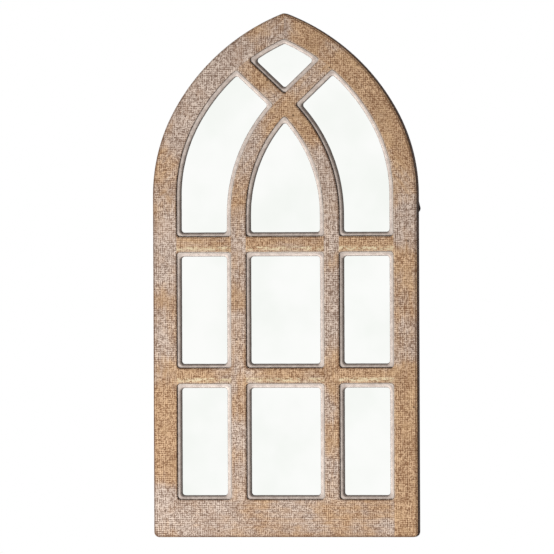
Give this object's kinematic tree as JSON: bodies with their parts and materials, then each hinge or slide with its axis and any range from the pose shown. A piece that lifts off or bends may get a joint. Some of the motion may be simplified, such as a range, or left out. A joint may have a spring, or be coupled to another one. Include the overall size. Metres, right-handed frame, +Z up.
{
  "type": "arched window mirror",
  "caption": "Wall mirror shaped as a pointed arch window: a washed wooden frame with mullions, crossbars and crossed tracery over one sheet of mirror glass, hung by two rings.",
  "frame": {"origin": "on the wall, midway between the two hooks that carry the rings, at the height of the hooks", "axes": "+Z up, -Y out of the wall towards the viewer, +X to the viewer's right"},
  "size_m": [0.4038, 0.028, 0.7829],
  "materials": {
    "frame_wood": "brown stain under a worn pinkish grey wash, saw marked",
    "bar_wood": "brown stain under a worn pinkish grey wash, saw marked",
    "bead_wood": "smooth, greyer wash, dark in the corners",
    "mirror": "silvered float glass, painted on its back",
    "foam": "thin white packing foam",
    "hardboard": "brown hardboard, smooth side out",
    "dowel_wood": "fluted beech, bare",
    "clip_steel": "zinc plated",
    "screw_steel": "zinc plated",
    "hanger_steel": "black, satin",
    "pad_rubber": "matt black"
  },
  "bodies": {
    "frame": {"left_stile": "frame_wood", "right_stile": "frame_wood", "bottom_rail": "frame_wood", "left_arch": "frame_wood", "right_arch": "frame_wood", "left_mullion": "bar_wood", "right_mullion": "bar_wood", "upper_crossbar": "bar_wood", "lower_crossbar": "bar_wood", "left_tracery_bar": "bar_wood", "right_tracery_bar": "bar_wood", "lower_left_bead": "bead_wood", "lower_centre_bead": "bead_wood", "lower_right_bead": "bead_wood", "middle_left_bead": "bead_wood", "middle_centre_bead": "bead_wood", "middle_right_bead": "bead_wood", "upper_left_bead": "bead_wood", "upper_right_bead": "bead_wood", "lancet_bead": "bead_wood", "diamond_bead": "bead_wood", "mirror_glass": "mirror", "foam_sheet": "foam", "back_panel": "hardboard", "frame_dowels": "dowel_wood", "tracery_dowels": "dowel_wood", "panel_clips": "clip_steel", "clip_screws": "screw_steel", "hanger_screws": "screw_steel", "left_hanger_strap": "hanger_steel", "right_hanger_strap": "hanger_steel", "wall_pads": "pad_rubber"},
    "left_ring": {"left_hanger_ring": "hanger_steel"},
    "right_ring": {"right_hanger_ring": "hanger_steel"}
  },
  "joints": [
    {"name": "left_ring_hinge", "type": "hinge", "parent": "frame", "child": "left_ring", "pos_m": [-0.189, -0.0034, -0.0222], "axis": [-1, 0, 0], "range_deg": [-3, 180]},
    {"name": "right_ring_hinge", "type": "hinge", "parent": "frame", "child": "right_ring", "pos_m": [0.189, -0.0034, -0.0222], "axis": [-1, 0, 0], "range_deg": [-3, 180]}
  ]
}
